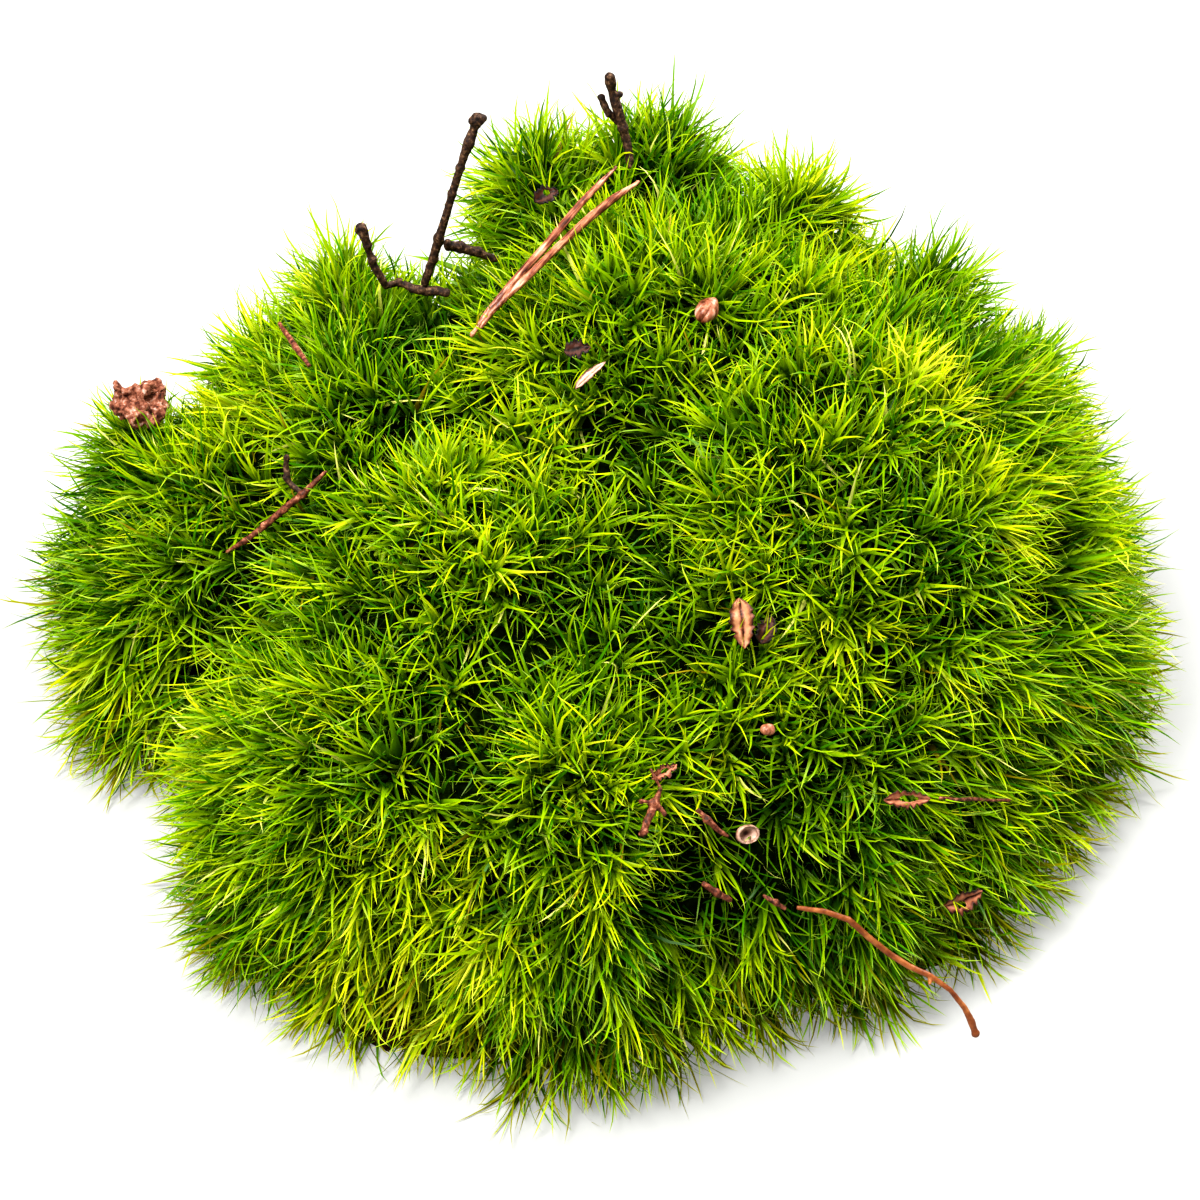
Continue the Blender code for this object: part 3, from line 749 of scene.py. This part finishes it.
def scrap_finish(name, rib, skin, worn, roughness=0.5):
    """A dry leaf scrap: a dark rib down its middle, bleached between rib and edge, brown
    again at its edges, and speckled all over."""
    made, tree, shader, output = finish_named(name)
    leaf_map = node(tree, "UVMap", {"uv_map": "UVMap"})
    axes = node(tree, "SeparateXYZ", links={"Vector": leaf_map.outputs["UV"]})
    off_rib = node(tree, "Math", {"operation": "SUBTRACT"}, {0: axes.outputs["Y"]})
    off_rib.inputs[1].default_value = 0.5
    apart = node(tree, "Math", {"operation": "ABSOLUTE"}, {0: off_rib.outputs["Value"]})
    place = node(tree, "TexCoord").outputs["Object"]
    speckle = node(tree, "TexNoise", links={"Vector": place}, Scale=1 / (0.9 * MM),
                   Detail=5.0, Roughness=0.7)
    wander = node(tree, "Math", {"operation": "MULTIPLY_ADD"}, {0: speckle.outputs["Fac"]})
    wander.inputs[1].default_value = 0.36
    tree.links.new(apart.outputs["Value"], wander.inputs[2])
    colour = ramp(tree, wander.outputs["Value"], (
        (0.16, rib), (0.22, skin), (0.34, worn), (0.44, worn), (0.56, skin), (0.66, rib)))
    tree.links.new(colour, shader.inputs["Base Color"])
    shader.inputs["Roughness"].default_value = roughness
    shader.inputs["Specular IOR Level"].default_value = 0.3
    relief = node(tree, "Bump", links={"Height": speckle.outputs["Fac"]}, Strength=0.6,
                  Distance=0.12 * MM)
    tree.links.new(relief.outputs["Normal"], shader.inputs["Normal"])
    return made


def leaf_scrap(name, slot, finish, size, run, face, fold, curl, ragged, hole=None,
               middle=None):
    """A scrap of dry leaf where the CAD scrap lies: length and width in mm, the way it
    runs, the way its face looks, how far its halves fold up, how far it curls along, how
    ragged its edge is, and a hole's place and reach as shares of the scrap."""
    low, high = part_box(name)
    middle = Vector(middle) * MM if middle else (Vector(low) + Vector(high)) / 2
    length, width = size[0] * MM, size[1] * MM
    bpy.ops.object.select_all(action="DESELECT")
    bpy.ops.mesh.primitive_grid_add(x_subdivisions=SCRAP_ROWS[0],
                                    y_subdivisions=SCRAP_ROWS[1], size=1)
    piece = bpy.context.object
    piece.name = name + "_finished"
    forward = Vector(run).normalized()
    sideways = Vector(face).cross(forward).normalized()
    upward = forward.cross(sideways)
    for vertex in piece.data.vertices:
        u, v = 2 * vertex.co.x, 2 * vertex.co.y
        torn = noise.noise(Vector((u * 7, math.copysign(3, v), length / MM))) * ragged
        reach = (1 - abs(u) ** 2.2) ** 0.75 * (1 + 0.22 * -u) * (1 + torn * abs(v))
        crumple = noise.noise(Vector((u * 2.6, v * 2.0, length / MM))) * 0.16 * width
        lift = fold * abs(v) * width / 2 * reach - curl * length / 2 * u * u + crumple
        vertex.co = (middle + forward * (length / 2 * u)
                     + sideways * (width / 2 * reach * v) + upward * lift)
    if hole:
        bpy.ops.object.mode_set(mode="EDIT")
        bpy.ops.mesh.select_mode(type="FACE")
        bpy.ops.mesh.select_all(action="DESELECT")
        bpy.ops.object.mode_set(mode="OBJECT")
        u_hole, v_hole, u_reach, v_reach = hole
        for i, cell in enumerate(piece.data.polygons):
            u = (i % SCRAP_ROWS[0] + 0.5) * 2 / SCRAP_ROWS[0] - 1
            v = (i // SCRAP_ROWS[0] + 0.5) * 2 / SCRAP_ROWS[1] - 1
            cell.select = ((u - u_hole) / u_reach) ** 2 + ((v - v_hole) / v_reach) ** 2 < 1
        bpy.ops.object.mode_set(mode="EDIT")
        bpy.ops.mesh.delete(type="FACE")
        bpy.ops.object.mode_set(mode="OBJECT")
    add(piece, "SOLIDIFY", thickness=0.22 * MM, offset=0)
    add(piece, "SUBSURF", levels=1, render_levels=1)
    piece.data.shade_smooth()
    dress(piece, finish, slot, name)


def leaf_scraps():
    """The scraps of dead leaf, from bleached to rotted dark."""
    dead = scrap_finish("dead leaf scrap", "#301409", "#70402A", "#B0805F")
    brown = scrap_finish("crumpled brown leaf", "#220C06", "#663420", "#A46C50")
    dark = scrap_finish("rotted dark leaf", "#0C0403", "#241009", "#4A2A1E", 0.65)
    pale = scrap_finish("bleached leaf", "#4A281C", "#94705E", "#C2A290", 0.45)
    leaf_scrap("folded_leaf_scrap", "dead_leaf", dead, (8.0, 3.8), (0.1, -0.75, -0.62),
               (0.0, -0.55, 0.85), 0.45, 0.05, 0.5)
    leaf_scrap("curled_leaf_scrap", "dark_leaf", dark, (4.8, 3.0), (0.35, 0.8, 0.45),
               (0.1, -0.45, 0.88), 0.35, 0.3, 0.6)
    leaf_scrap("pale_leaf_scrap", "pale_leaf", pale, (6.8, 1.6), (0.72, 0.62, 0.3),
               (-0.2, -0.35, 0.92), 0.5, 0.06, 0.4)
    leaf_scrap("dark_leaf_scrap", "dark_leaf", dark, (4.4, 3.0), (0.95, 0.1, 0.1),
               (-0.1, -0.5, 0.86), 0.3, 0.2, 0.8)
    leaf_scrap("crest_leaf_scrap", "dark_leaf", dark, (4.8, 3.2), (0.8, 0.5, 0.1),
               (-0.1, -0.5, 0.86), 0.4, 0.2, 0.8, (0.1, 0.2, 0.25, 0.35))
    leaf_scrap("skeleton_leaf", "dead_leaf", brown, (8.0, 2.6), (0.9, 0.25, -0.28),
               (0.3, -0.65, 0.68), 0.25, 0.08, 0.9, (0.05, 0.1, 0.42, 0.42))
    leaf_scrap("rim_leaf_scrap", "dead_leaf", brown, (6.8, 3.4), (0.88, 0.35, 0.1),
               (0.4, -0.8, 0.42), 0.6, 0.15, 1.0, (-0.2, -0.3, 0.2, 0.25))
    leaf_scrap("stem_leaf_scrap", "dead_leaf", brown, (4.6, 2.0), (0.8, 0.5, 0.1),
               (0.2, -0.45, 0.87), 0.5, 0.2, 1.0, (0.0, 0.1, 0.3, 0.3))
    round_scrap(pale)


def round_scrap(finish):
    """The round cream scrap: a shallow shell, open towards the front."""
    low, high = (Vector(corner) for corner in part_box("round_leaf_scrap"))
    middle = (low + high) / 2
    bpy.ops.object.select_all(action="DESELECT")
    bpy.ops.mesh.primitive_uv_sphere_add(segments=28, ring_count=18, radius=1)
    piece = bpy.context.object
    piece.name = "round_leaf_scrap_finished"
    bpy.ops.object.mode_set(mode="EDIT")
    bpy.ops.mesh.select_all(action="SELECT")
    bpy.ops.mesh.bisect(plane_co=(0, 0, 0.35), plane_no=(0, 0, 1), clear_outer=True)
    bpy.ops.object.mode_set(mode="OBJECT")
    tilt = Matrix.Rotation(math.radians(55), 4, "X") @ Matrix.Rotation(math.radians(20), 4, "Y")
    piece.data.transform(Matrix.Translation(middle) @ tilt
                         @ Matrix.Diagonal((1.75 * MM, 1.4 * MM, 1.0 * MM, 1)))
    add(piece, "SOLIDIFY", thickness=0.3 * MM, offset=0)
    add(piece, "DISPLACE", texture=clouds("round scrap", 1.4 * MM), texture_coords="LOCAL",
        strength=0.6 * MM, mid_level=0.5)
    piece.data.shade_smooth()
    dress(piece, finish, "pale_leaf", "round_leaf_scrap")


# ---------------------------------------------------------------- bark, buds and humus

def bark_flake():
    """A crumpled flake of bark: ragged plates with deep pits and a peak at its left."""
    finish = mottled("flaky bark", ("#1A0A05", "#5A3020", "#8A5A44", "#B09A90"), 0.9, 0.85,
                     0.3)
    piece = merged_copy("bark_flake", "bark_flake_finished")
    bpy.ops.object.select_all(action="DESELECT")
    grown = [knob((-82.6, 28.6, 44.6), (1.5, 1.4, 2.2)),
             knob((-76.0, 29.5, 44.4), (2.6, 2.2, 1.8))]
    select_only(piece, *grown)
    bpy.ops.object.join()
    add(piece, "REMESH", mode="VOXEL", voxel_size=0.35 * MM)
    for name, size, strength in (("bark plates", 3.2, -4.5), ("bark pits", 1.4, -1.8),
                                 ("bark grit", 0.5, 0.5)):
        add(piece, "DISPLACE", texture=clouds(name, size * MM, 1), texture_coords="LOCAL",
            strength=strength * MM, mid_level=0.38)
    piece.data.shade_smooth()
    dress(piece, finish, "bark", "bark_flake")


def bud(name, ribs, crease, lean, draw):
    """A dry bud: an egg of folded scales, drawn out to a tip along the way it leans."""
    finish = mottled("bud scales " + name, ("#260E07", "#643420", "#9C6850", "#CEA694"), 1.6,
                     0.35, 0.1, (1, 1, 0.35))
    piece = merged_copy(name, name + "_finished")
    add(piece, "SUBSURF", levels=2, render_levels=2)
    low, high = (Vector(corner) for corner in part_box(name))
    middle, reach = (low + high) / 2, (high - low).length / 3.4
    lean = Vector(lean).normalized()
    side = lean.cross(Vector((0.2, -1, 0.4))).normalized()
    front = side.cross(lean)
    for vertex in piece.data.vertices:
        off = vertex.co - middle
        along = off.dot(lean)
        round_it = off - lean * along
        turn = math.atan2(round_it.dot(front), round_it.dot(side))
        slim = 1 - 0.45 * max(0.0, along / reach) ** 1.5
        slim *= 1 - crease + crease * abs(math.sin(turn * ribs / 2)) ** 0.5
        vertex.co = middle + lean * along * draw + round_it * slim
    piece.data.shade_smooth()
    dress(piece, finish, "bud", name)


def humus_mat():
    """The crumbly mat under the moss: dark rotted fibres and soil."""
    finish = mottled("humus", ("#0C0603", "#22140A", "#40280F", "#6A4824"), 1.4, 0.95, 0.8,
                     gloss=0.1)
    piece = merged_copy("humus_mat", "humus_mat_finished")
    add(piece, "SUBSURF", levels=3, render_levels=3)
    add(piece, "DISPLACE", texture=clouds("crumbs", 1.6 * MM, 3), texture_coords="LOCAL",
        strength=1.8 * MM, mid_level=0.7)
    for vertex in piece.data.vertices:
        vertex.co.z = max(vertex.co.z, 0.0)
    piece.data.shade_smooth()
    dress(piece, finish, "humus", "humus_mat")


def debris():
    """Everything that lies in the moss, and the mat under it."""
    twigs()
    leaf_scraps()
    bark_flake()
    bud("bud_scale", 7, 0.20, (0.55, 0.35, 0.75), 1.15)
    bud("small_bud", 5, 0.14, (0.5, 0.2, 0.8), 1.0)
    humus_mat()


# ---------------------------------------------------------------- floor, light and camera

def studio():
    """A plain white table under soft light, and the camera."""
    bpy.ops.mesh.primitive_plane_add(size=4, location=(0, 0, 0))
    floor = bpy.context.object
    floor.name = "floor"
    paper, _, shader, _ = finish_named("white paper sweep")
    # Grey, and lit a little from itself: white away from the clump, with a soft shadow.
    shader.inputs["Base Color"].default_value = linear("#8C8C8A")
    shader.inputs["Roughness"].default_value = 0.95
    shader.inputs["Specular IOR Level"].default_value = 0.0
    shader.inputs["Emission Color"].default_value = (1, 1, 1, 1)
    shader.inputs["Emission Strength"].default_value = 0.22
    floor.data.materials.append(paper)

    world = bpy.data.worlds.new("soft white room")
    bpy.context.scene.world = world
    world.use_nodes = True
    world.node_tree.nodes["Background"].inputs["Color"].default_value = (1, 1, 1, 1)
    world.node_tree.nodes["Background"].inputs["Strength"].default_value = 0.36

    for name, place, size, power in (
            ("front softbox", (-0.35, -0.22, 0.85), 0.45, 16.5),
            ("back softbox", (0.45, 0.50, 0.65), 0.35, 12.5)):
        light = bpy.data.lights.new(name, "AREA")
        light.size = size
        light.energy = power
        lamp = bpy.data.objects.new(name, light)
        lamp.location = place
        lamp.rotation_euler = (-Vector(place)).to_track_quat("-Z", "Y").to_euler()
        bpy.context.scene.collection.objects.link(lamp)

    lens = bpy.data.cameras.new("camera")
    lens.lens = CAMERA_LENS
    lens.sensor_width = CAMERA_SENSOR
    camera = bpy.data.objects.new("camera", lens)
    back = Vector((0, -math.cos(CAMERA_ELEVATION), math.sin(CAMERA_ELEVATION)))
    camera.location = CAMERA_TARGET + back * CAMERA_DISTANCE
    camera.rotation_euler = (-back).to_track_quat("-Z", "Y").to_euler()
    bpy.context.scene.collection.objects.link(camera)
    bpy.context.scene.camera = camera
    bpy.context.scene.view_settings.view_transform = "Standard"
    bpy.context.scene.view_settings.look = "High Contrast"


studio()
grow_moss()
old_growth()
debris()
